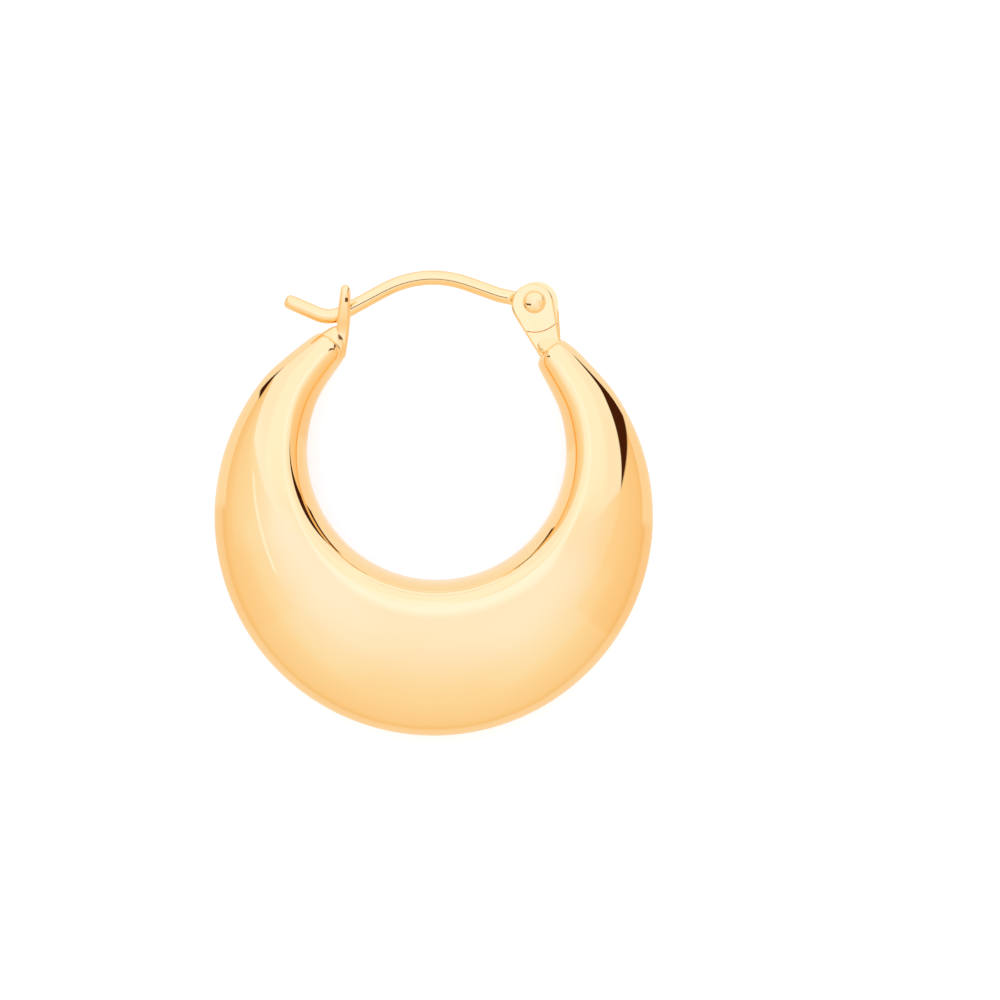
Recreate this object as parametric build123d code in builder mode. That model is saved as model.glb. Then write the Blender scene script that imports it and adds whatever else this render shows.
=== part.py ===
from build123d import *
import math
import os
from collections import namedtuple

# Creole hoop earring in polished yellow gold, in millimetres, lying on its side.
# Seen from above, the crescent's thick belly is at the bottom (-Y), the catch is at the
# upper left (-X), the hinge at the upper right (+X), and the ear wire arches over the top (+Y).
# Plan sizes are measured from the centre of the crescent's outer circle.
# The origin is under the middle of the whole earring, on the surface that it lies on.

# Crescent: the space between two circles, with the inner one moved towards the ear wire
outer_radius = 12.5
inner_radius = 7.37
inner_rise = 3.77
wall_thickness = 0.20

# A row for each cross-section of the crescent, from the belly up to past a tip:
# the angle about the inner circle's centre, half the thickness at the crest,
# and how far the crest lies outside the inner edge
SectionRow = namedtuple("SectionRow", "angle half_thickness crest")
section_rows = [
    SectionRow(0, 2.800, 1.42),
    SectionRow(22, 2.800, 1.41),
    SectionRow(40, 2.800, 1.40),
    SectionRow(52, 2.790, 1.38),
    SectionRow(61, 2.740, 1.36),
    SectionRow(70, 2.630, 1.33),
    SectionRow(82, 2.410, 1.28),
    SectionRow(96, 2.140, 1.23),
    SectionRow(110, 1.870, 1.18),
    SectionRow(125, 1.590, 1.12),
    SectionRow(142, 1.290, 1.03),
]

# Tips: each is cut flat across a point of the plan, and its rim is rounded
TipRow = namedtuple("TipRow", "x y facing")
catch_tip = TipRow(-5.72, 9.85, 26)
hinge_tip = TipRow(6.23, 9.95, 118.4)
tip_rounding = 0.62
tip_cap = 0.70
tip_cutter = (6.0, 4.4)
tip_cut_reach = 3.0

# Catch: an upright plate that ends in two lobes, with a slot between them for the ear wire
catch_foot = 9.10
catch_neck_top = 10.30
catch_neck_half = 0.88
catch_hip = 10.90
catch_hip_half = 1.26
catch_hip_rounding = 0.60
catch_lobe_radius = 0.51
catch_lobe_height = 12.48
catch_lobe_offset = 1.14
catch_slot_radius = 0.61
catch_slot_bottom = 10.68
catch_edge_rounding = 0.11

# A row for each height of the catch's thin side: where its outer and inner faces are.
# Each face is an arc through its three rows.
ProfileRow = namedtuple("ProfileRow", "height outer inner")
catch_profile = [
    ProfileRow(catch_foot, -5.98, -5.38),
    ProfileRow(11.95, -5.90, -5.25),
    ProfileRow(catch_lobe_height + catch_lobe_radius, -5.79, -5.34),
]

# Hinge fork: two ears on one foot, the far ear set a little higher and further out
pivot = Vector(5.18, 12.42)
near_ear_centre = Vector(5.09, 12.27)
far_ear_centre = Vector(5.33, 12.42)
ear_radius = 1.20
fork_half = 0.74
fork_gap_half = 0.34
fork_gap_radius = 1.40
fork_foot = (Vector(5.60, 9.35), Vector(6.85, 9.75))
ear_recess = 0.05
ear_recess_radius = 1.75
fork_edge_rounding = 0.08

# Rivet: a plain shank through both ears, with a low domed head on each side
shank_radius = 0.34
shank_clearance = 0.015
head_radius = 0.55
head_rim = 0.08
head_gap = 0.012
dome_radius = 1.20

# Ear wire: the corners of its centre line in plan, and the radius of the arc at each corner
wire_radius = 0.42
wire_tail = Vector(-9.01, 11.955)
wire_dip = Vector(-6.36, 10.93)
wire_crown = Vector(-1.16, 14.10)
wire_neck = Vector(3.17, 12.74)
dip_arc_radius = 1.70
crown_arc_radius = 5.70
neck_arc_radius = 3.00
tail_end_rounding = 0.30
eye_radius = 0.95
eye_side_gap = 0.05
eye_bore_clearance = 0.03
flat_radius = 1.52


def corner_arc_centre(before, corner, after, radius):
    """Centre of the arc that rounds a corner of a route."""
    back = (before - corner).normalized()
    ahead = (after - corner).normalized()
    half_angle = math.radians(back.get_angle(ahead) / 2)
    return corner + (back + ahead).normalized() * (radius / math.sin(half_angle))


# The earring's highest point in plan is the outside of the ear wire's arch
arch_centre = corner_arc_centre(wire_dip, wire_crown, wire_neck, crown_arc_radius)
plan_top = arch_centre.Y + crown_arc_radius + wire_radius
half_thickness = max(row.half_thickness for row in section_rows)
hoop_centre = Vector(0, (outer_radius - plan_top) / 2, half_thickness)
plan = Plane(origin=hoop_centre)


def crescent_width(angle):
    """Distance from the inner circle to the outer one, along a ray from the inner centre."""
    swing = math.radians(angle)
    reach = math.sqrt(outer_radius**2 - (inner_rise * math.sin(swing)) ** 2)
    return inner_rise * math.cos(swing) + reach - inner_radius


def radial_plane(angle):
    """Plane across the crescent at an angle from the belly: X points outwards."""
    swing = math.radians(angle)
    outwards = (math.sin(swing), -math.cos(swing), 0)
    along = (math.cos(swing), math.sin(swing), 0)
    centre = hoop_centre + Vector(0, inner_rise, 0)
    return Plane(origin=centre, x_dir=outwards, z_dir=along)


def crescent_section(row, inset):
    """Cross-section of the crescent, drawn in by the inset.

    It is two half ellipses that share their height at the crest.
    """
    crest = inner_radius + row.crest
    height = row.half_thickness - inset
    outer_reach = crescent_width(row.angle) - row.crest - inset
    inner_reach = row.crest - inset
    with BuildSketch(radial_plane(row.angle)) as section:
        with BuildLine():
            EllipticalCenterArc((crest, 0), outer_reach, height, -90, arc_size=180)
            EllipticalCenterArc((crest, 0), inner_reach, height, 90, arc_size=180)
        make_face()
    return section.sketch


def crescent_sections(inset):
    """All the cross-sections, from past the catch's tip round to past the hinge's."""
    far_side = [row._replace(angle=-row.angle) for row in section_rows[:0:-1]]
    return [crescent_section(row, inset) for row in far_side + section_rows]


def tip_plane(tip, depth):
    """Plane across a tip of the crescent, at a depth inside its end face: Z points out of it."""
    facing = math.radians(tip.facing)
    outwards = Vector(math.cos(facing), math.sin(facing), 0)
    face_centre = hoop_centre + Vector(tip.x, tip.y) - outwards * depth
    return Plane(origin=face_centre, x_dir=(0, 0, 1), z_dir=outwards)


# Catch
with BuildPart() as catch:
    with BuildSketch(Plane(origin=hoop_centre, x_dir=(0, 1, 0), z_dir=(1, 0, 0))):
        with Locations((catch_lobe_height, catch_lobe_offset)):
            Circle(catch_lobe_radius)
        with BuildLine():
            Line((catch_hip, 0), (catch_hip, catch_hip_half))
        make_hull()
        with BuildLine():
            Polyline(
                (catch_foot, 0),
                (catch_foot, catch_neck_half),
                (catch_neck_top, catch_neck_half),
                (catch_hip, catch_hip_half),
                (catch_hip, 0),
                close=True,
            )
        make_face()
        mirror(about=Plane.XZ)
        with Locations((catch_slot_bottom + catch_slot_radius, 0)):
            Circle(catch_slot_radius, mode=Mode.SUBTRACT)
            Rectangle(
                outer_radius,
                2 * catch_slot_radius,
                align=(Align.MIN, Align.CENTER),
                mode=Mode.SUBTRACT,
            )
    extrude(amount=outer_radius, both=True)
    with BuildSketch(plan):
        outer_side = [(row.outer, row.height) for row in catch_profile]
        inner_side = [(row.inner, row.height) for row in catch_profile]
        with BuildLine():
            ThreePointArc(*outer_side)
            Line(outer_side[-1], inner_side[-1])
            ThreePointArc(*inner_side)
            Line(inner_side[0], outer_side[0])
        make_face()
    extrude(amount=outer_radius, both=True, mode=Mode.INTERSECT)
    across = catch.edges().filter_by(Axis.X, tolerance=15)
    hip_range = (hoop_centre.Y + catch_neck_top - 0.01, hoop_centre.Y + catch_hip + 0.01)
    fillet(across.filter_by_position(Axis.Y, *hip_range), catch_hip_rounding)
    rim = catch.edges() - catch.edges().filter_by(Axis.X, tolerance=15)
    fillet(rim - rim.filter_by(Axis.Z), catch_edge_rounding)

# Hinge fork
with BuildPart() as fork:
    for ear_centre, side in ((near_ear_centre, 1), (far_ear_centre, -1)):
        with BuildSketch(plan):
            with Locations(ear_centre):
                Circle(ear_radius)
            with BuildLine():
                Line(*fork_foot)
            make_hull()
        extrude(amount=side * fork_half)
    with BuildSketch(plan):
        with Locations(pivot):
            Circle(fork_gap_radius)
    extrude(amount=fork_gap_half, both=True, mode=Mode.SUBTRACT)
    outer_faces = fork.faces().sort_by(Axis.Z)[0] + fork.faces().sort_by(Axis.Z)[-1]
    fillet(outer_faces.edges(), fork_edge_rounding)
    with BuildSketch(plan.offset(fork_half), plan.offset(ear_recess - fork_half)):
        with Locations(pivot):
            Circle(ear_recess_radius)
    extrude(amount=-ear_recess, mode=Mode.SUBTRACT)
    with BuildSketch(plan):
        with Locations(pivot):
            Circle(shank_radius + shank_clearance)
    extrude(amount=fork_half, both=True, mode=Mode.SUBTRACT)

# Space inside the hollow crescent
with BuildPart() as cavity:
    loft(crescent_sections(wall_thickness))
    with BuildSketch(tip_plane(catch_tip, tip_cap), tip_plane(hinge_tip, tip_cap)):
        Rectangle(*tip_cutter)
    extrude(amount=tip_cut_reach, mode=Mode.SUBTRACT)

# Hoop: the crescent with its catch and fork soldered on
with BuildPart() as hoop:
    loft(crescent_sections(0))
    with BuildSketch(tip_plane(catch_tip, 0), tip_plane(hinge_tip, 0)):
        Rectangle(*tip_cutter)
    extrude(amount=tip_cut_reach, mode=Mode.SUBTRACT)
    tip_faces = hoop.faces().filter_by(GeomType.PLANE)
    fillet(tip_faces.edges(), tip_rounding)
    add(catch.part)
    add(fork.part)
    add(cavity.part, mode=Mode.SUBTRACT)
    hoop.part.label = "hoop"

# Rivet that the ear wire turns on
with BuildPart() as hinge_pin:
    pivot_centre = plan.from_local_coords(pivot)
    head_seat = fork_half - ear_recess + head_gap
    rim_top = head_seat + head_rim
    dome_centre = rim_top - math.sqrt(dome_radius**2 - head_radius**2)
    dome_angle = math.degrees(math.asin(head_radius / dome_radius))
    with BuildSketch(Plane(origin=pivot_centre, x_dir=(1, 0, 0), z_dir=(0, -1, 0))):
        with BuildLine():
            Polyline(
                (0, 0),
                (shank_radius, 0),
                (shank_radius, head_seat),
                (head_radius, head_seat),
                (head_radius, rim_top),
            )
            CenterArc((0, dome_centre), dome_radius, 90 - dome_angle, dome_angle)
            Line((0, dome_centre + dome_radius), (0, 0))
        make_face()
        mirror(about=Plane.XZ)
    revolve(axis=Axis(pivot_centre, (0, 0, 1)))
    hinge_pin.part.label = "hinge_pin"

# Ear wire: round wire that is filed flat at the hinge end, where it carries the eye
with BuildPart() as ear_wire:
    corners = (wire_tail, wire_dip, wire_crown, wire_neck, pivot)
    route = [plan.from_local_coords(corner) for corner in corners]
    with BuildLine():
        FilletPolyline(*route, radius=[dip_arc_radius, crown_arc_radius, neck_arc_radius])
    with BuildSketch(Plane(origin=route[0], z_dir=route[1] - route[0])):
        Circle(wire_radius)
    sweep()
    tail_face = ear_wire.faces().filter_by(GeomType.PLANE).sort_by(Axis.X)[0]
    fillet(tail_face.edges(), tail_end_rounding)
    eye_half = fork_gap_half - eye_side_gap
    with BuildSketch(plan.offset(eye_half), plan.offset(-wire_radius)):
        with Locations(pivot):
            Circle(flat_radius)
    extrude(amount=wire_radius - eye_half, mode=Mode.SUBTRACT)
    with BuildSketch(plan):
        with Locations(pivot):
            Circle(eye_radius)
    extrude(amount=eye_half, both=True)
    with BuildSketch(plan):
        with Locations(pivot):
            Circle(shank_radius + eye_bore_clearance)
    extrude(amount=eye_half, both=True, mode=Mode.SUBTRACT)
    ear_wire.part.label = "ear_wire"

os.makedirs("parts", exist_ok=True)
for piece in (hoop, hinge_pin, ear_wire):
    export_step(piece.part, f"parts/{piece.part.label}.step")
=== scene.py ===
"""Creole hoop earring in polished yellow gold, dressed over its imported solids."""

import logging
import math
from dataclasses import dataclass, field
from enum import Enum
from typing import Callable, NamedTuple, Sequence

import bmesh
import bpy
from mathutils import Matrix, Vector

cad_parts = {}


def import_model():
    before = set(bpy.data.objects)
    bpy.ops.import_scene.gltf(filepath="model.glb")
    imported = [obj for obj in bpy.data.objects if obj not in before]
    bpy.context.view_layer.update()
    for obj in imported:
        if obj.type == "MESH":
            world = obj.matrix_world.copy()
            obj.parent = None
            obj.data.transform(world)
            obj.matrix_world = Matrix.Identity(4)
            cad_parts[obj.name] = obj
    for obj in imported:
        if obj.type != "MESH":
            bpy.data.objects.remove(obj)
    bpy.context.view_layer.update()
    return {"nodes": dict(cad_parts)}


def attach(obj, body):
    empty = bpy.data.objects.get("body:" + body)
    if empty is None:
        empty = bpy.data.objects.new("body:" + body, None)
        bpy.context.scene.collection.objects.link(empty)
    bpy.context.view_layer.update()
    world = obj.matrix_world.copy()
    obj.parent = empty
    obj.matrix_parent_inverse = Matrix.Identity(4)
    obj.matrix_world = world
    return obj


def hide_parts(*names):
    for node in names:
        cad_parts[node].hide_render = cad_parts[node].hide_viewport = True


log = logging.getLogger("creole")

MM = 0.001
FULL_TURN = 2 * math.pi
# places closer together than this, in millimetres, are one place
NEAR = 1e-4

# Sizes below are in millimetres from the centre of the crescent's outer circle:
# +X towards the hinge, +Y towards the ear wire, +Z towards the viewer.
HOOP_CENTRE = Vector((0.0, -0.75353, 2.8))


class Body(Enum):
    """The two rigid bodies that the pieces ride on."""

    HOOP = "hoop"
    WIRE = "wire"


class Side(Enum):
    """The two tips of the crescent."""

    CATCH = -1
    HINGE = 1


def rest() -> None:
    """Leave edit mode and deselect every object."""
    if bpy.context.mode != "OBJECT":
        bpy.ops.object.mode_set(mode="OBJECT")
    bpy.ops.object.select_all(action="DESELECT")


def pick_points(test: Callable[[Vector], bool], newest: int = 0) -> None:
    """Select, in edit mode, only the points that pass a test.

    Args:
        test: says from its place whether a point is wanted.
        newest: if given, only this many of the last points are looked at.
    """
    mesh = bmesh.from_edit_mesh(bpy.context.edit_object.data)
    for part in (*mesh.faces, *mesh.edges, *mesh.verts):
        part.select_set(False)
    mesh.verts.ensure_lookup_table()
    points = mesh.verts[-newest:] if newest else mesh.verts
    for point in [point for point in points if test(point.co)]:
        point.select_set(True)
    mesh.select_flush(True)
    bmesh.update_edit_mesh(bpy.context.edit_object.data)


def pick_faces(test: Callable[[Vector], bool]) -> None:
    """Select, in edit mode, only the faces whose middle passes a test.

    Args:
        test: says from a face's middle whether the face is wanted.
    """
    mesh = bmesh.from_edit_mesh(bpy.context.edit_object.data)
    for part in (*mesh.faces, *mesh.edges, *mesh.verts):
        part.select_set(False)
    for face in [face for face in mesh.faces if test(face.calc_center_median())]:
        face.select_set(True)
    bmesh.update_edit_mesh(bpy.context.edit_object.data)


def slide(by: Sequence[float]) -> None:
    """Move the selected points.

    Args:
        by: the move along X, Y and Z.
    """
    bpy.ops.transform.translate(value=tuple(by))


def swell(by: Sequence[float], about: Sequence[float]) -> None:
    """Scale the selected points.

    Args:
        by: the factors along X, Y and Z.
        about: the point that stays where it is.
    """
    bpy.ops.transform.resize(value=tuple(by), center_override=tuple(about))


def turn(angle: float, about: Sequence[float]) -> None:
    """Turn the selected points about Z by the right-hand rule.

    Args:
        angle: the turn in radians.
        about: a point on the axis.
    """
    bpy.ops.transform.rotate(
        value=-angle, orient_axis="Z", orient_type="GLOBAL", center_override=tuple(about)
    )


def finish_modifier(piece: bpy.types.Object, kind: str, **settings: object) -> None:
    """Add a modifier to a piece and apply it.

    Args:
        piece: the object to change.
        kind: the modifier's type, in Blender's capitals.
        settings: values for the modifier's own properties.
    """
    rest()
    bpy.context.view_layer.objects.active = piece
    piece.select_set(True)
    modifier = piece.modifiers.new(kind.title(), kind)
    for name, value in settings.items():
        setattr(modifier, name, value)
    bpy.ops.object.modifier_apply(modifier=modifier.name)


def smooth_surface(piece: bpy.types.Object, levels: int) -> None:
    """Round a piece with a subdivision surface, applied at once."""
    finish_modifier(piece, "SUBSURF", levels=levels, render_levels=levels)


def cut_away(piece: bpy.types.Object, cutter: bpy.types.Object) -> None:
    """Cut one piece out of another, and delete the cutter.

    Args:
        piece: the object that stays.
        cutter: the object whose space is taken away.
    """
    finish_modifier(piece, "BOOLEAN", operation="DIFFERENCE", object=cutter, solver="EXACT")
    bpy.data.objects.remove(cutter)


def settle(
    piece: bpy.types.Object,
    name: str,
    finish: bpy.types.Material,
    body: Body,
    sharp: float = 0.0,
) -> bpy.types.Object:
    """Name a piece, put it in its place in metres, and give it its finish and its body.

    Args:
        piece: the object, modelled in millimetres about the crescent's outer circle.
        name: its plain name.
        finish: its material.
        body: the rigid body that it rides on.
        sharp: if given, edges that turn by more than this many degrees stay sharp.

    Returns:
        The same object.
    """
    rest()
    piece.name = name
    piece.data.name = name
    piece.select_set(True)
    bpy.context.view_layer.objects.active = piece
    bpy.ops.object.mode_set(mode="EDIT")
    bpy.ops.mesh.select_all(action="SELECT")
    bpy.ops.mesh.normals_make_consistent(inside=False)
    bpy.ops.object.mode_set(mode="OBJECT")
    if sharp:
        bpy.ops.object.shade_smooth_by_angle(angle=math.radians(sharp))
    else:
        bpy.ops.object.shade_smooth()
    piece.location = HOOP_CENTRE * MM
    piece.scale = (MM, MM, MM)
    bpy.ops.object.transform_apply(location=True, rotation=True, scale=True)
    if sharp:
        # broad flat faces keep their own normals, and only the narrow edges bend
        finish_modifier(piece, "WEIGHTED_NORMAL", weight=80, keep_sharp=True)
    piece.data.materials.clear()
    piece.data.materials.append(finish)
    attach(piece, body.value)
    log.info("%s: %d faces on %s", name, len(piece.data.polygons), body.value)
    return piece


class Sizes(NamedTuple):
    """A cross-section's half thickness, and how far its crest lies outside its inner edge."""

    half_thickness: float
    crest: float


class Ring(NamedTuple):
    """A ring of a lofted piece: its two edges in plan, and its sizes."""

    inner: Vector
    outer: Vector
    sizes: Sizes
    # 1 leaves it oval, less makes it squarer
    roundness: float = 1.0


def rounding_gain(count: int) -> float:
    """How much larger a ring is drawn, because a subdivision surface lies inside it.

    Args:
        count: how many points the ring has.

    Returns:
        The factor on its radius.
    """
    return 3 / (2 + math.cos(FULL_TURN / count))


def add_ring(ring: Ring, count: int) -> None:
    """Add one ring: a circle whose two halves are stretched to meet the two edges.

    Args:
        ring: where it goes.
        count: how many points it has.
    """
    sizes = ring.sizes
    across = ring.outer - ring.inner
    on_axis = 1e-6
    gain = rounding_gain(count)
    bpy.ops.mesh.primitive_circle_add(
        vertices=count, radius=gain, fill_type="NOTHING", rotation=(math.pi / 2, 0, 0)
    )
    if ring.roundness < 1.0:
        pick_points(lambda place: True, newest=count)
        mesh = bmesh.from_edit_mesh(bpy.context.edit_object.data)
        for point in mesh.verts[-count:]:
            for axis in (0, 2):
                share = abs(point.co[axis]) / gain
                point.co[axis] = math.copysign(gain * share**ring.roundness, point.co[axis])
        bmesh.update_edit_mesh(bpy.context.edit_object.data)
    swell((1.0, 1.0, sizes.half_thickness), (0, 0, 0))
    pick_points(lambda place: place.x > on_axis, newest=count)
    swell((across.length - sizes.crest, 1.0, 1.0), (0, 0, 0))
    pick_points(lambda place: place.x < -on_axis, newest=count)
    swell((sizes.crest, 1.0, 1.0), (0, 0, 0))
    pick_points(lambda place: True, newest=count)
    turn(math.atan2(across.y, across.x), (0, 0, 0))
    slide(ring.inner + across.normalized() * sizes.crest)


def bridge_rings(start: int, following: int, count: int) -> None:
    """Join two rings with a band of faces.

    Args:
        start: the number of the first ring's first point.
        following: the same for the next ring.
        count: how many points a ring has.
    """
    mesh = bmesh.from_edit_mesh(bpy.context.edit_object.data)
    for part in (*mesh.faces, *mesh.edges, *mesh.verts):
        part.select_set(False)
    mesh.verts.ensure_lookup_table()
    wanted = set(range(start, start + count)) | set(range(following, following + count))
    for number in wanted:
        mesh.verts[number].select_set(True)
    for edge in mesh.edges:
        if edge.verts[0].index in wanted and edge.verts[1].index in wanted:
            edge.select_set(True)
    bmesh.update_edit_mesh(bpy.context.edit_object.data)
    bpy.ops.mesh.bridge_edge_loops()


def loft_rings(rings: Sequence[Ring], count: int, levels: int) -> bpy.types.Object:
    """Model a closed piece through a row of rings, and round it.

    Args:
        rings: the rings, from one end to the other.
        count: how many points each ring has.
        levels: how many times it is subdivided.

    Returns:
        The piece, in millimetres.
    """
    rest()
    # an object with nothing in it yet, to add the rings to
    bpy.ops.mesh.primitive_circle_add(vertices=count, radius=1.0, fill_type="NOTHING")
    piece = bpy.context.object
    bpy.ops.object.mode_set(mode="EDIT")
    bpy.ops.mesh.select_all(action="SELECT")
    bpy.ops.mesh.delete(type="VERT")
    add_ring(rings[0], count)
    bpy.ops.mesh.edge_face_add()
    bpy.ops.mesh.poke()
    for ring in rings[1:]:
        add_ring(ring, count)
    # the first ring's cap has a point of its own at its middle
    starts = [0] + [count + 1 + count * index for index in range(len(rings) - 1)]
    for start, following in zip(starts, starts[1:]):
        bridge_rings(start, following, count)
    pick_points(lambda place: True, newest=count)
    bpy.ops.mesh.edge_face_add()
    bpy.ops.mesh.poke()
    rest()
    smooth_surface(piece, levels)
    return piece


def level_rings(rows: Sequence[tuple[float, float]], count: int) -> bpy.types.Object:
    """Model a turned piece about the Z axis from a ball, level by level.

    Args:
        rows: the radius and the height of each level, from the top to the bottom.
        count: how many points each level has.

    Returns:
        The piece, in millimetres, with its axis on Z.
    """
    rest()
    # levels that are done wait this much higher, clear of those still to be moved
    parking = 5.0
    bpy.ops.mesh.primitive_uv_sphere_add(segments=count, ring_count=len(rows) + 1, radius=1.0)
    piece = bpy.context.object
    bpy.ops.object.mode_set(mode="EDIT")
    for number, (radius, height) in enumerate(rows, start=1):
        angle = math.pi * number / (len(rows) + 1)
        level, reach = math.cos(angle), math.sin(angle)
        pick_points(lambda place: abs(place.z - level) < NEAR)
        swell((radius / reach, radius / reach, 1.0), (0, 0, 0))
        slide((0, 0, parking + height - level))
    for pole, height in ((1.0, rows[0][1]), (-1.0, rows[-1][1])):
        pick_points(lambda place: abs(place.z - pole) < NEAR)
        slide((0, 0, parking + height - pole))
    bpy.ops.mesh.select_all(action="SELECT")
    slide((0, 0, -parking))
    rest()
    return piece


@dataclass(frozen=True)
class GoldFinish:
    """A gold surface: how pale it is, how well polished, and what its fine marks are like."""

    name: str
    colour: tuple[float, float, float]
    deep_colour: tuple[float, float, float]
    polish: tuple[float, float]
    wave_size: float
    wave_depth: float
    scratch_depth: float
    drift_size: float = 6.0
    rub_size: float = 1.1
    scratch_size: float = 0.9
    scratch_stretch: tuple[float, float, float] = (9.0, 1.2, 4.0)
    scratch_turn: tuple[float, float, float] = (0.4, 0.2, 0.7)

    def build(self) -> bpy.types.Material:
        """Make the material: a metal with faint colour drift, waves and fine scratches.

        Returns:
            The material.
        """
        material = bpy.data.materials.new(self.name)
        material.use_nodes = True
        nodes = material.node_tree.nodes
        links = material.node_tree.links
        shader = nodes["Principled BSDF"]
        shader.inputs["Metallic"].default_value = 1.0
        place = nodes.new("ShaderNodeTexCoord").outputs["Object"]

        drift = nodes.new("ShaderNodeTexNoise")
        drift.inputs["Scale"].default_value = 1 / (self.drift_size * MM)
        drift.inputs["Detail"].default_value = 3.0
        links.new(place, drift.inputs["Vector"])
        tint = nodes.new("ShaderNodeValToRGB")
        tint.color_ramp.elements[0].position = 0.35
        tint.color_ramp.elements[0].color = (*self.deep_colour, 1.0)
        tint.color_ramp.elements[1].position = 0.60
        tint.color_ramp.elements[1].color = (*self.colour, 1.0)
        links.new(drift.outputs["Fac"], tint.inputs["Fac"])
        links.new(tint.outputs["Color"], shader.inputs["Base Color"])

        rub = nodes.new("ShaderNodeTexNoise")
        rub.inputs["Scale"].default_value = 1 / (self.rub_size * MM)
        rub.inputs["Detail"].default_value = 5.0
        links.new(place, rub.inputs["Vector"])
        gloss = nodes.new("ShaderNodeMapRange")
        gloss.inputs["From Min"].default_value = 0.3
        gloss.inputs["From Max"].default_value = 0.7
        gloss.inputs["To Min"].default_value = self.polish[0]
        gloss.inputs["To Max"].default_value = self.polish[1]
        links.new(rub.outputs["Fac"], gloss.inputs["Value"])
        links.new(gloss.outputs["Result"], shader.inputs["Roughness"])

        waves = nodes.new("ShaderNodeTexNoise")
        waves.inputs["Scale"].default_value = 1 / (self.wave_size * MM)
        waves.inputs["Detail"].default_value = 1.0
        links.new(place, waves.inputs["Vector"])
        wave_bump = nodes.new("ShaderNodeBump")
        wave_bump.inputs["Strength"].default_value = 1.0
        wave_bump.inputs["Distance"].default_value = self.wave_depth * MM
        links.new(waves.outputs["Fac"], wave_bump.inputs["Height"])

        stretch = nodes.new("ShaderNodeMapping")
        stretch.inputs["Scale"].default_value = self.scratch_stretch
        stretch.inputs["Rotation"].default_value = self.scratch_turn
        links.new(place, stretch.inputs["Vector"])
        scratches = nodes.new("ShaderNodeTexNoise")
        scratches.inputs["Scale"].default_value = 1 / (self.scratch_size * MM)
        scratches.inputs["Detail"].default_value = 6.0
        links.new(stretch.outputs["Vector"], scratches.inputs["Vector"])
        scratch_bump = nodes.new("ShaderNodeBump")
        scratch_bump.inputs["Strength"].default_value = 1.0
        scratch_bump.inputs["Distance"].default_value = self.scratch_depth * MM
        links.new(scratches.outputs["Fac"], scratch_bump.inputs["Height"])
        links.new(wave_bump.outputs["Normal"], scratch_bump.inputs["Normal"])
        links.new(scratch_bump.outputs["Normal"], shader.inputs["Normal"])
        return material


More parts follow.
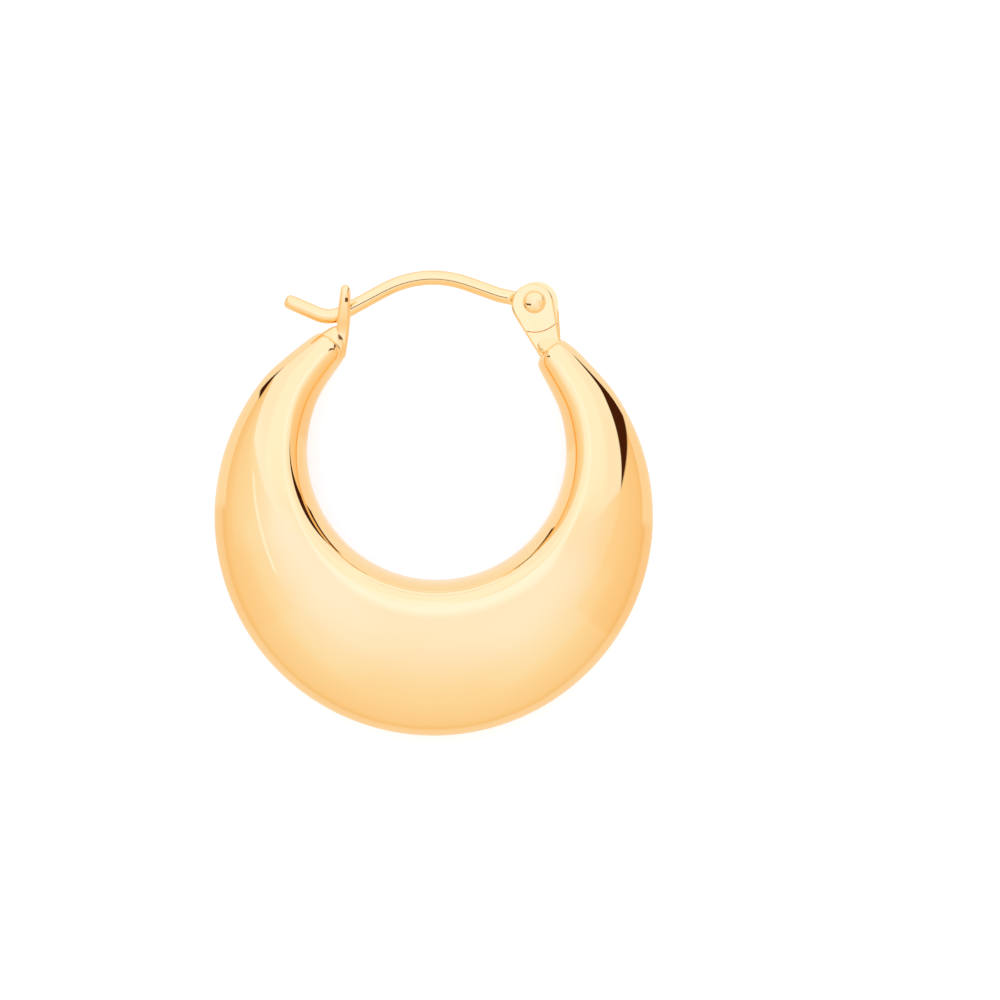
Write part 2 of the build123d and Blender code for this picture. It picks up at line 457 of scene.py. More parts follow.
@dataclass
class Crescent:
    """The hollow crescent: rings about the inner circle, rounded over at both tips."""

    finish: bpy.types.Material
    outer_radius: float = 12.5
    inner_radius: float = 7.37
    inner_rise: float = 3.77
    ring_points: int = 40
    ring_step: float = 6.0
    last_angle: float = 114.0
    rounding_levels: int = 2
    sections: dict[float, Sizes] = field(
        default_factory=lambda: {
            0: Sizes(2.800, 1.42),
            22: Sizes(2.800, 1.41),
            40: Sizes(2.800, 1.40),
            52: Sizes(2.790, 1.38),
            61: Sizes(2.740, 1.36),
            70: Sizes(2.630, 1.33),
            82: Sizes(2.410, 1.28),
            96: Sizes(2.140, 1.23),
            110: Sizes(1.870, 1.18),
            125: Sizes(1.590, 1.12),
            142: Sizes(1.290, 1.03),
        }
    )

    def sizes_at(self, angle: float) -> Sizes:
        """The cross-section's sizes, smoothly between the rows of the table.

        Args:
            angle: degrees from the belly, on either side.

        Returns:
            The sizes at that angle.
        """
        angle = abs(angle)
        rows = sorted(self.sections)
        above = next(i for i, row in enumerate(rows) if row >= angle and i)
        keys = [rows[max(above - 2, 0)], rows[above - 1], rows[above]]
        keys.append(rows[min(above + 1, len(rows) - 1)])
        span = keys[2] - keys[1]
        share = (angle - keys[1]) / span
        found = []
        for column in range(2):
            before, start, end, after = (self.sections[key][column] for key in keys)
            slope_in = (end - before) / max(keys[2] - keys[0], 1) * span
            slope_out = (after - start) / max(keys[3] - keys[1], 1) * span
            if keys[0] == keys[1]:
                slope_in = 0.0
            found.append(
                start * (2 * share**3 - 3 * share**2 + 1)
                + slope_in * (share**3 - 2 * share**2 + share)
                + end * (3 * share**2 - 2 * share**3)
                + slope_out * (share**3 - share**2)
            )
        return Sizes(*found)

    def edge_points(self, angle: float) -> tuple[Vector, Vector]:
        """Where a ray from the inner circle's centre meets the inner and the outer circle.

        Args:
            angle: degrees from the belly, positive towards the hinge.

        Returns:
            The inner point and the outer point, in plan.
        """
        swing = math.radians(angle)
        ray = Vector((math.sin(swing), -math.cos(swing), 0.0))
        reach = math.sqrt(self.outer_radius**2 - (self.inner_rise * math.sin(swing)) ** 2)
        outer = self.inner_rise * math.cos(swing) + reach
        centre = Vector((0.0, self.inner_rise, 0.0))
        return centre + ray * self.inner_radius, centre + ray * outer

    def tip_rings(self, side: Side) -> list[Ring]:
        """The rings that turn a tip over into its blunt, thumb-like end.

        Args:
            side: which tip.

        Returns:
            The rings, towards the end.
        """
        if side is Side.CATCH:
            table = (
                (-5.90, 8.14, -7.76, 9.62, 1.57, 1.05),
                (-5.50, 8.66, -7.26, 9.99, 1.46, 0.92),
                (-5.48, 9.02, -6.98, 10.16, 1.36, 0.82),
                (-5.62, 9.34, -6.76, 10.16, 1.20, 0.66),
                (-5.88, 9.60, -6.54, 10.04, 0.86, 0.40),
            )
        else:
            table = (
                (5.95, 8.10, 7.74, 9.80, 1.57, 1.05),
                (5.57, 8.70, 7.26, 10.15, 1.46, 0.92),
                (5.52, 9.08, 6.97, 10.33, 1.37, 0.82),
                (5.62, 9.38, 6.76, 10.35, 1.22, 0.66),
                (5.88, 9.66, 6.56, 10.22, 0.90, 0.40),
            )
        return [
            Ring(Vector((a, b, 0)), Vector((c, d, 0)), Sizes(half, crest))
            for a, b, c, d, half, crest in table
        ]

    def rings(self) -> list[Ring]:
        """List all the rings of the crescent.

        Returns:
            The rings, from the catch's tip round the belly to the hinge's.
        """
        found = self.tip_rings(Side.CATCH)[::-1]
        steps = round(2 * self.last_angle / self.ring_step)
        for index in range(steps + 1):
            angle = -self.last_angle + index * self.ring_step
            found.append(Ring(*self.edge_points(angle), self.sizes_at(angle)))
        return found + self.tip_rings(Side.HINGE)

    def build(self) -> bpy.types.Object:
        """Model the crescent and put it in its place.

        Returns:
            The finished object.
        """
        piece = loft_rings(self.rings(), self.ring_points, self.rounding_levels)
        return settle(piece, "crescent", self.finish, Body.HOOP)


class FlareRow(NamedTuple):
    """A level of a flare of solder: its two edges in plan and its half thickness."""

    left: tuple[float, float]
    right: tuple[float, float]
    half_thickness: float


@dataclass
class SolderFlare:
    """Solder that has run up from a tip of the crescent onto what stands there."""

    name: str
    finish: bpy.types.Material
    rows: tuple[FlareRow, ...]
    roundness: float = 0.5
    ring_points: int = 24
    rounding_levels: int = 2

    def build(self) -> bpy.types.Object:
        """Model the flare through a few rings.

        Returns:
            The finished object.
        """
        rings = []
        for row in self.rows:
            left, right = Vector((*row.left, 0)), Vector((*row.right, 0))
            sizes = Sizes(row.half_thickness, (right - left).length / 2)
            rings.append(Ring(left, right, sizes, self.roundness))
        piece = loft_rings(rings, self.ring_points, self.rounding_levels)
        return settle(piece, self.name, self.finish, Body.HOOP)


CATCH_SOLDER = (
    FlareRow((-7.20, 9.88), (-5.52, 8.60), 0.90),
    FlareRow((-6.95, 10.07), (-5.38, 8.98), 0.93),
    FlareRow((-6.62, 10.29), (-5.35, 9.40), 0.92),
    FlareRow((-6.28, 10.50), (-5.36, 9.86), 0.89),
    FlareRow((-5.98, 10.62), (-5.40, 10.24), 0.80),
)
HINGE_SOLDER = (
    FlareRow((5.14, 10.46), (6.64, 10.64), 0.70),
    FlareRow((5.24, 10.06), (6.78, 10.38), 0.78),
    FlareRow((5.42, 9.72), (6.92, 10.18), 0.92),
    FlareRow((5.64, 9.40), (7.04, 9.95), 1.08),
)


class CatchRow(NamedTuple):
    """A level of the catch's half: its height, its edges beside the slot and outside."""

    height: float
    inner: float
    outer: float


@dataclass
class CatchPlate:
    """The upright plate that ends in two lobes, with a slot for the ear wire between them."""

    finish: bpy.types.Material
    rows: tuple[CatchRow, ...] = (
        CatchRow(8.70, 0.00, 0.80),
        CatchRow(9.80, 0.00, 0.87),
        CatchRow(10.30, 0.00, 0.92),
        CatchRow(10.66, 0.00, 1.12),
        CatchRow(10.84, 0.36, 1.26),
        CatchRow(11.22, 0.60, 1.42),
        CatchRow(11.75, 0.61, 1.56),
        CatchRow(12.28, 0.63, 1.66),
        CatchRow(12.70, 0.70, 1.62),
        CatchRow(12.95, 0.94, 1.38),
    )
    sides: tuple[tuple[float, float, float], ...] = (
        (9.00, -5.98, -5.38),
        (11.95, -5.90, -5.25),
        (13.00, -5.79, -5.34),
    )
    edge: float = 0.20
    sharp_turn: float = 0.9
    rounding_levels: int = 2

    def side_at(self, height: float) -> tuple[float, float]:
        """The plate's outer and inner face at a height, on a parabola through three points.

        Args:
            height: the height above the outer circle's centre.

        Returns:
            X of the outer face and X of the inner face.
        """
        found = []
        for column in (1, 2):
            total = 0.0
            for i, row in enumerate(self.sides):
                weight = 1.0
                for j, other in enumerate(self.sides):
                    if i != j:
                        weight *= (height - other[0]) / (row[0] - other[0])
                total += weight * row[column]
            found.append(total)
        return found[0], found[1]

    def build(self) -> bpy.types.Object:
        """Model one half from a strip of faces, mirror it and round it.

        Returns:
            The finished object.
        """
        rest()
        bpy.ops.mesh.primitive_plane_add(size=1.0, rotation=(0, math.pi / 2, 0))
        piece = bpy.context.object
        bpy.ops.object.transform_apply(location=False, rotation=True, scale=False)
        bpy.ops.object.mode_set(mode="EDIT")
        first, second = self.rows[:2]
        self.place_row(lambda place: place.y < 0, first)
        self.place_row(lambda place: -0.1 < place.y < 0.9, second)
        for row in self.rows[2:]:
            bpy.ops.mesh.extrude_edges_move(TRANSFORM_OT_translate={"value": (0, 0.1, 0)})
            self.place_row(None, row)
        bpy.ops.mesh.select_all(action="SELECT")
        bpy.ops.mesh.extrude_region_move(TRANSFORM_OT_translate={"value": (1.0, 0, 0)})
        for row in self.rows:
            outer, inner = self.side_at(row.height)
            pick_points(lambda place: abs(place.y - row.height) < NEAR and place.x < 0.5)
            slide((outer, 0, 0))
            pick_points(lambda place: abs(place.y - row.height) < NEAR and place.x > 0.5)
            slide((inner - 1.0, 0, 0))
        # the wall on the middle plane, below the slot, goes before the halves are joined
        pick_faces(lambda middle: abs(middle.z) < NEAR)
        bpy.ops.mesh.delete(type="FACE")
        rest()
        finish_modifier(
            piece, "MIRROR", use_axis=(False, False, True), use_clip=True, merge_threshold=NEAR
        )
        finish_modifier(
            piece,
            "BEVEL",
            width=self.edge,
            segments=2,
            limit_method="ANGLE",
            angle_limit=self.sharp_turn,
        )
        smooth_surface(piece, self.rounding_levels)
        return settle(piece, "catch_plate", self.finish, Body.HOOP)

    def place_row(self, test: Callable[[Vector], bool] | None, row: CatchRow) -> None:
        """Put a pair of points on a row: the lower Z one inside, the other outside.

        Args:
            test: picks the two points; the selected ones are kept if it is None.
            row: where they go.
        """
        if test:
            pick_points(test)
        mesh = bmesh.from_edit_mesh(bpy.context.edit_object.data)
        pair = sorted((v for v in mesh.verts if v.select), key=lambda v: v.co.z)
        for point, depth in zip(pair, (row.inner, row.outer)):
            point.co = Vector((0.0, row.height, depth))
        bmesh.update_edit_mesh(bpy.context.edit_object.data)


@dataclass
class HingeFork:
    """Two ears on one foot, with the rivet through them and a step round the rivet."""

    finish: bpy.types.Material
    pivot: tuple[float, float] = (5.18, 12.42)
    near_centre: tuple[float, float] = (5.09, 12.27)
    far_centre: tuple[float, float] = (5.33, 12.42)
    ear_radius: float = 1.20
    half_width: float = 0.74
    gap_half: float = 0.34
    gap_radius: float = 1.40
    foot: tuple[tuple[float, float], ...] = ((5.74, 9.44), (6.70, 9.76))
    foot_radius: float = 0.14
    step_radius: float = 1.75
    step_depth: float = 0.05
    # radius and depth of the groove below the step, and of the one round the rivet's head
    grooves: tuple[tuple[float, float], ...] = ((1.74, 0.05), (0.59, 0.05))
    bore_radius: float = 0.355
    rim: float = 0.12
    # half the height of a cutter that goes right through
    through: float = 1.5

    def ear(self, centre: tuple[float, float], low: float, high: float) -> bpy.types.Object:
        """One ear: the hull of a disc and of a foot, with a rounded rim.

        Args:
            centre: the disc's centre in plan.
            low: Z of its lower face.
            high: Z of its upper face.

        Returns:
            The ear, in millimetres.
        """
        rest()
        middle, thick = (low + high) / 2, high - low
        bpy.ops.mesh.primitive_cylinder_add(
            vertices=96, radius=self.ear_radius, depth=thick, location=(*centre, middle)
        )
        piece = bpy.context.object
        bpy.ops.object.transform_apply(location=True, rotation=False, scale=False)
        bpy.ops.object.mode_set(mode="EDIT")
        for spot in self.foot:
            bpy.ops.mesh.primitive_cylinder_add(
                vertices=32, radius=self.foot_radius, depth=thick, location=(*spot, middle)
            )
        bpy.ops.mesh.select_all(action="SELECT")
        bpy.ops.mesh.convex_hull()
        bpy.ops.mesh.dissolve_limited(angle_limit=math.radians(0.5))
        rest()
        finish_modifier(
            piece,
            "BEVEL",
            width=self.rim,
            segments=4,
            limit_method="ANGLE",
            angle_limit=1.2,
            use_clamp_overlap=False,
        )
        return piece

    def cutter(self, radius: float, half_height: float) -> bpy.types.Object:
        """A round cutter on the rivet's axis.

        Args:
            radius: its radius.
            half_height: how far it goes above and below the middle plane.

        Returns:
            The cutter, in millimetres.
        """
        rest()
        bpy.ops.mesh.primitive_cylinder_add(
            vertices=128, radius=radius, depth=2 * half_height, location=(*self.pivot, 0.0)
        )
        return bpy.context.object

    def build(self) -> bpy.types.Object:
        """Model both ears with their raised feet, join them, and cut what is hollow.

        Returns:
            The finished object.
        """
        face = self.half_width - self.step_depth
        parts = []
        for centre, side in ((self.near_centre, 1), (self.far_centre, -1)):
            for height in (face, self.half_width):
                low, high = sorted((0.0, side * height))
                parts.append(self.ear(centre, low, high))
                if height > face:
                    cut_away(parts[-1], self.cutter(self.step_radius, self.through))
        whole = parts[0]
        for part in parts[1:]:
            finish_modifier(whole, "BOOLEAN", operation="UNION", object=part, solver="EXACT")
            bpy.data.objects.remove(part)
        cut_away(whole, self.cutter(self.gap_radius, self.gap_half))
        cut_away(whole, self.cutter(self.bore_radius, self.through))
        for height in (face, -face):
            for reach, depth in self.grooves:
                rest()
                bpy.ops.mesh.primitive_torus_add(
                    location=(*self.pivot, height),
                    major_radius=reach,
                    minor_radius=depth,
                    major_segments=160,
                    minor_segments=12,
                )
                cut_away(whole, bpy.context.object)
        return settle(whole, "hinge_fork", self.finish, Body.HOOP, sharp=28)


@dataclass
class Rivet:
    """The rivet: a shank with a low domed head at each end."""

    finish: bpy.types.Material
    pivot: tuple[float, float] = (5.18, 12.42)
    shank_radius: float = 0.34
    head_radius: float = 0.55
    head_seat: float = 0.702
    head_rim: float = 0.08
    dome_radius: float = 1.20
    edge: float = 0.025
    middle_level: float = 0.1
    dome_shares: tuple[float, ...] = (0.12, 0.35, 0.60, 0.82, 0.94)

    def head_rows(self) -> list[tuple[float, float]]:
        """List the radius and the height of each level of the upper half.

        Returns:
            The levels, from the top of the dome to just above the middle plane.
        """
        rim_top = self.head_seat + self.head_rim
        dome_centre = rim_top - math.sqrt(self.dome_radius**2 - self.head_radius**2)
        rows = []
        for share in self.dome_shares:
            radius = self.head_radius * share
            rows.append((radius, dome_centre + math.sqrt(self.dome_radius**2 - radius**2)))
        return rows + [
            (self.head_radius, rim_top - self.edge / 2),
            (self.head_radius, self.head_seat + self.edge),
            (self.head_radius - self.edge, self.head_seat),
            (self.shank_radius + self.edge, self.head_seat),
            (self.shank_radius, self.head_seat - self.edge),
            (self.shank_radius, self.middle_level),
        ]

    def build(self) -> bpy.types.Object:
        """Turn the rivet from a ball, and put it on the pivot.

        Returns:
            The finished object.
        """
        upper = self.head_rows()
        lower = [(radius, -height) for radius, height in reversed(upper)]
        piece = level_rings(upper + lower, 32)
        bpy.context.view_layer.objects.active = piece
        bpy.ops.object.mode_set(mode="EDIT")
        bpy.ops.mesh.select_all(action="SELECT")
        slide((*self.pivot, 0.0))
        rest()
        smooth_surface(piece, 2)
        return settle(piece, "rivet", self.finish, Body.HOOP)


class Bend(NamedTuple):
    """A corner of the ear wire's route, and the radius of the arc that rounds it."""

    x: float
    y: float
    radius: float


@dataclass
class EarWire:
    """Round wire bent over the hoop, filed flat at the hinge, with an eye on the rivet."""

    finish: bpy.types.Material
    wire_radius: float = 0.42
    tail: tuple[float, float] = (-9.01, 11.955)
    bends: tuple[Bend, ...] = (
        Bend(-6.36, 10.93, 1.70),
        Bend(-1.16, 14.10, 5.70),
        Bend(3.17, 12.74, 3.00),
    )
    pivot: tuple[float, float] = (5.18, 12.42)
    eye_radius: float = 0.95
    eye_half: float = 0.29
    bore_radius: float = 0.37
    flat_radius: float = 1.34
    flat_slope: float = 0.06
    cap: float = 0.30
    eye_overlap: float = 0.62
    straight_step: float = 0.7
    bend_step: float = math.radians(6.5)
    ring_points: int = 24

    def build(self) -> bpy.types.Object:
        """Model the wire by drawing out a ring along its route, then add the eye.

        Returns:
            The finished object.
        """
        rest()
        gain = rounding_gain(self.ring_points)
        corners = [Vector((*self.tail, 0))]
        corners += [Vector((bend.x, bend.y, 0)) for bend in self.bends]
        corners.append(Vector((*self.pivot, 0)))
        ahead = (corners[1] - corners[0]).normalized()
        heading = math.atan2(ahead.y, ahead.x)
        spot = corners[0] + ahead * self.cap
        bpy.ops.mesh.primitive_circle_add(
            vertices=self.ring_points,
            radius=self.wire_radius * gain,
            fill_type="NOTHING",
            location=spot,
            rotation=(math.pi / 2, 0, heading + math.pi / 2),
        )
        piece = bpy.context.object
        bpy.ops.object.transform_apply(location=True, rotation=True, scale=True)
        bpy.ops.object.mode_set(mode="EDIT")
        bpy.ops.mesh.select_all(action="SELECT")
        self.round_tail(spot, -ahead)
        self.pick_section(spot, ahead)
        for index, bend in enumerate(self.bends, start=1):
            back = (corners[index - 1] - corners[index]).normalized()
            onward = (corners[index + 1] - corners[index]).normalized()
            swing = math.pi - back.angle(onward)
            tangent = bend.radius * math.tan(swing / 2)
            start = corners[index] + back * tangent
            self.draw_to(spot, start)
            bisector = (back + onward).normalized()
            centre = corners[index] + bisector * (bend.radius / math.cos(swing / 2))
            left = back.cross(onward).z < 0
            steps = max(4, round(swing / self.bend_step))
            bpy.ops.mesh.spin(
                steps=steps,
                angle=swing,
                center=centre,
                axis=(0, 0, -1) if left else (0, 0, 1),
            )
            spot = corners[index] + onward * tangent
        back = (corners[-2] - corners[-1]).normalized()
        self.draw_to(spot, corners[-1] + back * self.eye_overlap)
        bpy.ops.mesh.edge_face_add()
        bpy.ops.mesh.select_all(action="SELECT")
        bpy.ops.mesh.remove_doubles(threshold=NEAR)
        rest()
        smooth_surface(piece, 2)
        self.file_flat(piece)
        eye = self.eye()
        rest()
        eye.select_set(True)
        piece.select_set(True)
        bpy.context.view_layer.objects.active = piece
        bpy.ops.object.join()
        return settle(piece, "ear_wire_round", self.finish, Body.WIRE, sharp=60)

    def round_tail(self, base: Vector, outwards: Vector) -> None:
        """Round the wire's free end: two smaller rings and a middle.

        Args:
            base: the middle of the end ring.
            outwards: the way that the end points.
        """
        for reach, share in ((0.16, 0.86), (0.11, 0.56)):
            bpy.ops.mesh.extrude_edges_move()
            swell((share, share, share), base)
            slide(outwards * reach)
            base = base + outwards * reach
        bpy.ops.mesh.edge_face_add()
        bpy.ops.mesh.poke()

    def pick_section(self, spot: Vector, ahead: Vector) -> None:
        """Select the ring at a spot of the route.

        Args:
            spot: the ring's middle.
            ahead: the way that the wire runs there.
        """
        reach = self.wire_radius * 1.2
        off_plane = 1e-3
        pick_points(
            lambda place: abs((place - spot).dot(ahead)) < off_plane
            and (place - spot).length < reach
        )

    def draw_to(self, start: Vector, end: Vector) -> None:
        """Extrude the selected ring along a straight stretch.

        Args:
            start: the ring's middle now.
            end: where it goes.
        """
        stretch = end - start
        steps = max(1, round(stretch.length / self.straight_step))
        for _ in range(steps):
            bpy.ops.mesh.extrude_edges_move()
            slide(stretch / steps)

    def file_flat(self, piece: bpy.types.Object) -> None:
        """Flatten the wire at its hinge end, as a file leaves it, with a short slope.

        Args:
            piece: the wire, in millimetres.
        """
        rest()
        for point in piece.data.vertices:
            away = (Vector((*self.pivot, 0)) - Vector((point.co.x, point.co.y, 0))).length
            reach = max(0.0, away - self.flat_radius + self.flat_slope)
            limit = self.eye_half + reach * 2.0
            point.co.z = max(-limit, min(limit, point.co.z))

    def eye(self) -> bpy.types.Object:
        """The eye: a thick washer with softened edges.

        Returns:
            The eye, in millimetres.
        """
        rest()
        bpy.ops.mesh.primitive_cylinder_add(
            vertices=64, radius=self.eye_radius, depth=2 * self.eye_half, location=(*self.pivot, 0)
        )
        piece = bpy.context.object
        bpy.ops.object.transform_apply(location=True, rotation=False, scale=False)
        bpy.ops.mesh.primitive_cylinder_add(
            vertices=64, radius=self.bore_radius, depth=2.0, location=(*self.pivot, 0)
        )
        cut_away(piece, bpy.context.object)
        finish_modifier(
            piece, "BEVEL", width=0.05, segments=3, limit_method="ANGLE", angle_limit=0.9
        )
        return piece


class Glow(NamedTuple):
    """A ring of the light tent: its angle from overhead in degrees, and its colour."""

    tilt: float
    colour: tuple[float, float, float]


class Way(NamedTuple):
    """A direction: its azimuth and its angle from overhead, in degrees."""

    azimuth: float
    tilt: float


class Lay(Enum):
    """How a patch goes over what is under it."""

    COVER = "MIX"
    MULTIPLY = "MULTIPLY"


class Panel(NamedTuple):
    """A flat-sided patch of the tent, with two directions on each of its edges."""

    name: str
    lay: Lay
    colour: tuple[float, float, float]
    softness: float
    edges: tuple[tuple[Way, Way], ...]


def edge_between(first: Way, second: Way) -> Vector:
    """Normal of the plane through the earring and two directions.

    Args:
        first: a direction on the edge.
        second: another, the next one when the patch is on the left.

    Returns:
        The normal; the patch is on its side.
    """
    ways = []
    for azimuth, tilt in (first, second):
        a, t = math.radians(azimuth), math.radians(tilt)
        ways.append(Vector((math.sin(t) * math.cos(a), math.sin(t) * math.sin(a), math.cos(t))))
    return ways[0].cross(ways[1]).normalized()


GAP_BROWN = (0.06, 0.016, 0.006)
# each patch is laid over the ones before it
TENT_PANELS = (
    Panel(
        "front_floor", Lay.COVER, (0.99, 0.955, 0.93), 0.03,
        (
            (Way(118, 100), Way(62, 100)),
            (Way(0, 0), Way(0, 90)),
        ),
    ),
    Panel(
        "front_wall", Lay.COVER, (1.0, 1.10, 1.28), 0.02,
        (
            (Way(13.5, 46), Way(50, 120)),
            (Way(60, 101), Way(120, 101)),
            (Way(130, 120), Way(158, 52)),
            (Way(158, 52), Way(166, 20)),
            (Way(14, 20), Way(13.5, 46)),
            (Way(178, 6), Way(2, 6)),
        ),
    ),
    Panel(
        "front_lamp", Lay.COVER, (1.10, 1.185, 1.43), 0.06,
        (
            (Way(40, 40), Way(62, 100)),
            (Way(60, 100), Way(120, 100)),
            (Way(118, 100), Way(140, 40)),
            (Way(150, 20), Way(30, 20)),
        ),
    ),
    Panel(
        "top_lamp", Lay.COVER, (1.15, 1.25, 1.64), 0.03,
        (
            (Way(-90, 90), Way(0, 5)),
            (Way(50, 34), Way(130, 34)),
            (Way(90, 90), Way(180, 3)),
            (Way(-140, 7), Way(-40, 7)),
        ),
    ),
    Panel(
        "left_cream", Lay.MULTIPLY, (1.0, 1.05, 1.14), 0.09,
        (
            (Way(0, 0), Way(-172, 90)),
            (Way(-112, 90), Way(0, 0)),
            (Way(-160, 48), Way(-105, 48)),
        ),
    ),
    Panel(
        "right_cream", Lay.MULTIPLY, (1.0, 1.05, 1.14), 0.09,
        (
            (Way(0, 0), Way(-68, 90)),
            (Way(-20, 90), Way(0, 0)),
            (Way(-75, 48), Way(-20, 48)),
        ),
    ),
    Panel(
        "right_shade", Lay.MULTIPLY, (1.0, 0.965, 0.93), 0.08,
        (
            (Way(-70, 9), Way(-30, 95)),
            (Way(30, 95), Way(60, 9)),
        ),
    ),
    Panel(
        "right_wall", Lay.MULTIPLY, (1.0, 0.955, 0.885), 0.010,
        (
            (Way(13.6, 47), Way(-37.9, 31.6)),
            (Way(-37.9, 31.6), Way(-33, 95)),
            (Way(30, 95), Way(13.6, 47)),
        ),
    ),
    Panel(
        "left_wall", Lay.MULTIPLY, (1.0, 0.972, 0.925), 0.010,
        (
            (Way(-137.4, 31.8), Way(166, 41.8)),
            (Way(166, 41.8), Way(149, 92)),
            (Way(-144.9, 96), Way(-137.4, 31.8)),
        ),
    ),
    Panel(
        "left_wall_glow", Lay.MULTIPLY, (1.0, 1.06, 1.16), 0.10,
        (
            (Way(0, 0), Way(152, 90)),
            (Way(-168, 90), Way(0, 0)),
            (Way(170, 72), Way(-170, 72)),
        ),
    ),
    Panel(
        "left_wall_edge", Lay.COVER, (1.10, 1.16, 1.42), 0.006,
        (
            (Way(-137.4, 30.0), Way(166, 38.6)),
            (Way(166, 42.0), Way(-137.4, 31.8)),
            (Way(166, 38), Way(160, 60)),
            (Way(-168, 60), Way(-152, 31)),
        ),
    ),
    Panel(
        "right_gap", Lay.COVER, GAP_BROWN, 0.010,
        (
            (Way(13.5, 46), Way(30.6, 114)),
            (Way(30.6, 114), Way(51, 106)),
            (Way(51, 106), Way(13.5, 46)),
        ),
    ),
    Panel(
        "left_gap", Lay.COVER, GAP_BROWN, 0.010,
        (
            (Way(149, 92), Way(134, 103)),
            (Way(134, 103), Way(147, 114)),
            (Way(147, 114), Way(149, 92)),
        ),
    ),
)


@dataclass
class Studio:
    """The white table, the light tent round it and the camera over it."""

    frame_width: float = 1000 / 17.585
    aim: tuple[float, float] = (3.723, 1.106)
    roll: float = 2.5
    lens: float = 250.0
    sensor: float = 36.0
    table_radius: float = 1.5
    table_colour: tuple[float, float, float] = (0.80, 0.83, 0.88)
    table_glow: float = 0.42
    flag_place: tuple[float, float, float] = (-0.9, 10.9, 6.0)
    flag_size: tuple[float, float] = (8.6, 1.1)
    flag_colour: tuple[float, float, float] = (0.16, 0.08, 0.035)
    # a colour ramp stops at 1, so the tent's colours are held at this share
    gain: float = 2.0
    rings: tuple[Glow, ...] = (
        Glow(0, (1.02, 1.11, 1.38)),
        Glow(10, (1.01, 1.09, 1.32)),
        Glow(15, (1.00, 1.075, 1.27)),
        Glow(22, (1.00, 1.035, 1.15)),
        Glow(30, (0.99, 0.975, 0.965)),
        Glow(40, (0.99, 0.935, 0.84)),
        Glow(50, (0.99, 0.905, 0.782)),
        Glow(60, (0.98, 0.868, 0.714)),
        Glow(70, (0.98, 0.845, 0.68)),
        Glow(80, (0.973, 0.825, 0.64)),
        Glow(88, (0.965, 0.785, 0.56)),
        Glow(94, (0.93, 0.735, 0.485)),
        Glow(97, (0.94, 0.76, 0.53)),
        Glow(104, (0.98, 0.85, 0.735)),
        Glow(120, (0.98, 0.865, 0.76)),
        Glow(180, (0.95, 0.84, 0.72)),
    )

    def build_camera(self) -> None:
        """Put the camera over the table, looking straight down."""
        distance = self.frame_width * self.lens / self.sensor
        data = bpy.data.cameras.new("camera")
        data.lens = self.lens
        data.sensor_width = self.sensor
        data.clip_start = 0.01
        data.clip_end = 10.0
        camera = bpy.data.objects.new("camera", data)
        bpy.context.scene.collection.objects.link(camera)
        spot = Vector((*self.aim, 0)) + HOOP_CENTRE
        camera.location = (spot.x * MM, spot.y * MM, (spot.z + distance) * MM)
        camera.rotation_euler = (0, 0, math.radians(self.roll))
        bpy.context.scene.camera = camera

    def build_floor(self) -> None:
        """Lay the white table top that the earring lies on."""
        rest()
        bpy.ops.mesh.primitive_circle_add(vertices=96, radius=self.table_radius, fill_type="NGON")
        floor = bpy.context.object
        floor.name = "table_top"
        material = bpy.data.materials.new("white_table")
        material.use_nodes = True
        shader = material.node_tree.nodes["Principled BSDF"]
        shader.inputs["Base Color"].default_value = (*self.table_colour, 1.0)
        shader.inputs["Roughness"].default_value = 0.9
        shader.inputs["Specular IOR Level"].default_value = 0.1
        shader.inputs["Emission Color"].default_value = (1.0, 1.0, 1.0, 1.0)
        shader.inputs["Emission Strength"].default_value = self.table_glow
        floor.data.materials.append(material)
        floor.visible_glossy = False

    def build_tent(self) -> None:
        """Make the light tent as the world: rings of glow, with the flat walls laid over."""
        world = bpy.data.worlds.new("light_tent")
        bpy.context.scene.world = world
        world.use_nodes = True
        nodes = world.node_tree.nodes
        links = world.node_tree.links
        nodes.clear()
        way = nodes.new("ShaderNodeTexCoord").outputs["Generated"]
        split = nodes.new("ShaderNodeSeparateXYZ")
        links.new(way, split.inputs["Vector"])
        tilt = nodes.new("ShaderNodeMath")
        tilt.operation = "ARCCOSINE"
        links.new(split.outputs["Z"], tilt.inputs[0])
        share = nodes.new("ShaderNodeMath")
        share.operation = "DIVIDE"
        share.inputs[1].default_value = math.pi
        links.new(tilt.outputs[0], share.inputs[0])
        ramp = nodes.new("ShaderNodeValToRGB")
        elements = ramp.color_ramp.elements
        while len(elements) < len(self.rings):
            elements.new(0.5)
        for element, ring in zip(elements, self.rings):
            element.position = ring.tilt / 180
        for element, ring in zip(elements, self.rings):
            element.color = (*(part / self.gain for part in ring.colour), 1.0)
        links.new(share.outputs[0], ramp.inputs["Fac"])
        colour = ramp.outputs["Color"]
        for panel in TENT_PANELS:
            colour = self.lay_panel(world.node_tree, way, colour, panel)
        tent = nodes.new("ShaderNodeBackground")
        tent.inputs["Strength"].default_value = self.gain
        links.new(colour, tent.inputs["Color"])
        plain = nodes.new("ShaderNodeBackground")
        plain.inputs["Color"].default_value = (1.0, 1.0, 1.0, 1.0)
        seen = nodes.new("ShaderNodeLightPath").outputs["Is Camera Ray"]
        mix = nodes.new("ShaderNodeMixShader")
        links.new(seen, mix.inputs["Fac"])
        links.new(tent.outputs["Background"], mix.inputs[1])
        links.new(plain.outputs["Background"], mix.inputs[2])
        output = nodes.new("ShaderNodeOutputWorld")
        links.new(mix.outputs["Shader"], output.inputs["Surface"])

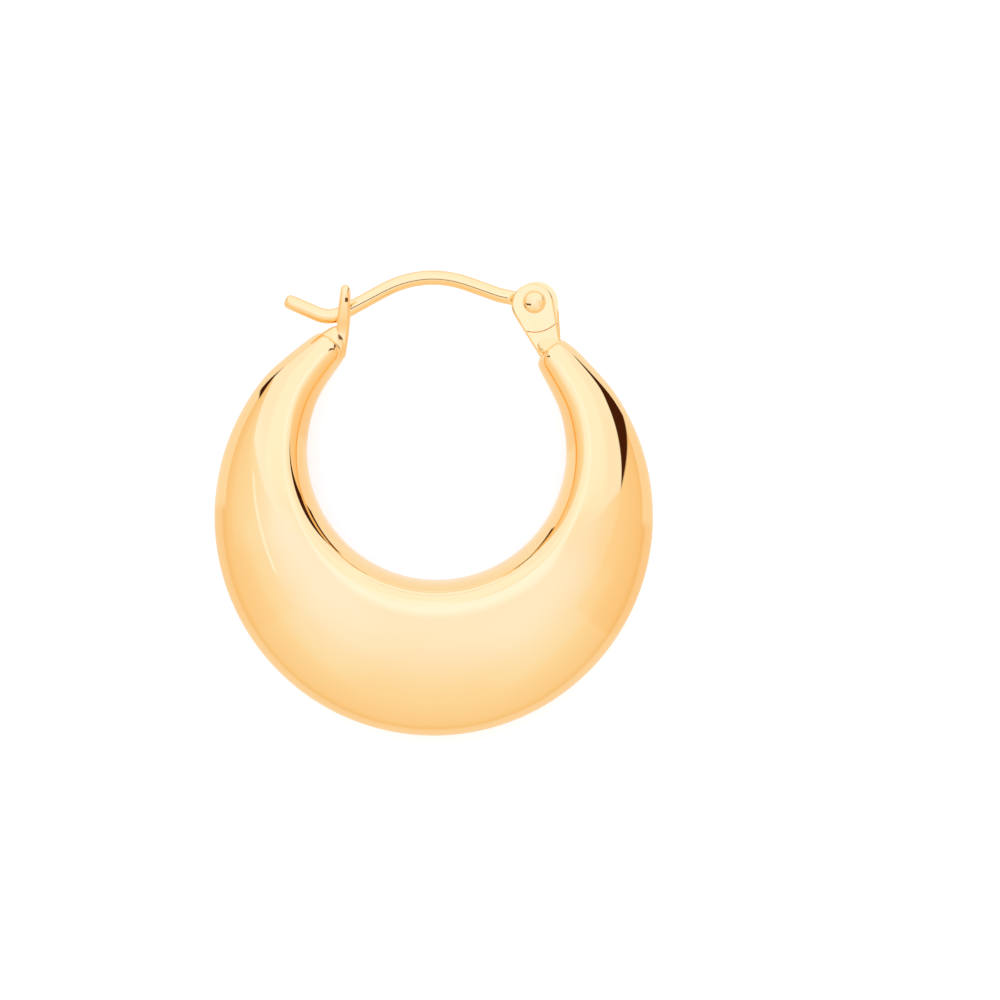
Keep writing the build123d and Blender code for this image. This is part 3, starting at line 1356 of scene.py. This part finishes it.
    def lay_panel(
        self,
        tree: bpy.types.NodeTree,
        way: bpy.types.NodeSocket,
        under: bpy.types.NodeSocket,
        panel: Panel,
    ) -> bpy.types.NodeSocket:
        """Lay one flat-sided patch over the tent's colour.

        Args:
            tree: the world's nodes.
            way: the direction looked in.
            under: the colour so far.
            panel: the patch.

        Returns:
            The colour with the patch laid on.
        """
        mask = None
        for edge in panel.edges:
            side = tree.nodes.new("ShaderNodeVectorMath")
            side.operation = "DOT_PRODUCT"
            side.inputs[1].default_value = tuple(edge_between(*edge))
            tree.links.new(way, side.inputs[0])
            inside = tree.nodes.new("ShaderNodeMapRange")
            inside.interpolation_type = "SMOOTHSTEP"
            inside.inputs["From Min"].default_value = -panel.softness
            inside.inputs["From Max"].default_value = panel.softness
            tree.links.new(side.outputs["Value"], inside.inputs["Value"])
            if mask is None:
                mask = inside.outputs["Result"]
                continue
            both = tree.nodes.new("ShaderNodeMath")
            both.operation = "MULTIPLY"
            tree.links.new(mask, both.inputs[0])
            tree.links.new(inside.outputs["Result"], both.inputs[1])
            mask = both.outputs[0]
        mix = tree.nodes.new("ShaderNodeMix")
        mix.data_type = "RGBA"
        mix.label = panel.name
        mix.blend_type = panel.lay.value
        colour = panel.colour
        if panel.lay is Lay.COVER:
            colour = tuple(part / self.gain for part in colour)
        tree.links.new(mask, mix.inputs[0])
        tree.links.new(under, mix.inputs[6])
        mix.inputs[7].default_value = (*colour, 1.0)
        return mix.outputs[2]

    def build_flag(self) -> None:
        """Hang a thin dark strip close over the earring, seen only as a line in the metal."""
        rest()
        bpy.ops.mesh.primitive_plane_add(size=1.0)
        flag = bpy.context.object
        flag.name = "dark_flag"
        length, width = self.flag_size
        flag.scale = (length * MM, width * MM, 1.0)
        flag.location = (HOOP_CENTRE + Vector(self.flag_place)) * MM
        bpy.ops.object.transform_apply(location=True, rotation=True, scale=True)
        material = bpy.data.materials.new("dark_felt")
        material.use_nodes = True
        shader = material.node_tree.nodes["Principled BSDF"]
        shader.inputs["Base Color"].default_value = (*self.flag_colour, 1.0)
        shader.inputs["Roughness"].default_value = 1.0
        shader.inputs["Specular IOR Level"].default_value = 0.0
        flag.data.materials.append(material)
        flag.visible_camera = False
        flag.visible_diffuse = False
        flag.visible_shadow = False

    def build(self) -> None:
        """Set up the camera, the table and the light."""
        self.build_camera()
        self.build_floor()
        self.build_flag()
        self.build_tent()
        view = bpy.context.scene.view_settings
        view.view_transform = "Standard"
        view.look = "None"


def main() -> None:
    """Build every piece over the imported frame, and the studio round it."""
    logging.basicConfig(level=logging.INFO, format="%(name)s: %(message)s")
    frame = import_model()
    polished = GoldFinish(
        "polished_gold", (1.0, 0.735, 0.385), (1.0, 0.722, 0.368), (0.015, 0.03),
        4.0, 0.0006, 0.00001,
    ).build()
    cast = GoldFinish(
        "cast_gold", (0.985, 0.715, 0.352), (0.98, 0.69, 0.325), (0.06, 0.16), 0.5, 0.003, 0.0001,
    ).build()
    drawn = GoldFinish(
        "drawn_gold", (1.0, 0.735, 0.385), (1.0, 0.715, 0.36), (0.02, 0.06),
        1.2, 0.0008, 0.00004,
    ).build()
    crescent = Crescent(polished).build()
    plate = CatchPlate(drawn).build()
    fork = HingeFork(cast).build()
    catch_solder = SolderFlare("catch_solder", cast, CATCH_SOLDER).build()
    hinge_solder = SolderFlare("hinge_solder", cast, HINGE_SOLDER).build()
    rivet = Rivet(drawn).build()
    wire = EarWire(drawn).build()
    for piece in (crescent, plate, fork, catch_solder, hinge_solder):
        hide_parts("hoop")
    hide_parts("hinge_pin")
    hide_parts("ear_wire")
    Studio().build()
    log.info("%d CAD nodes dressed", len(frame["nodes"]))


if __name__ == "__main__":
    main()
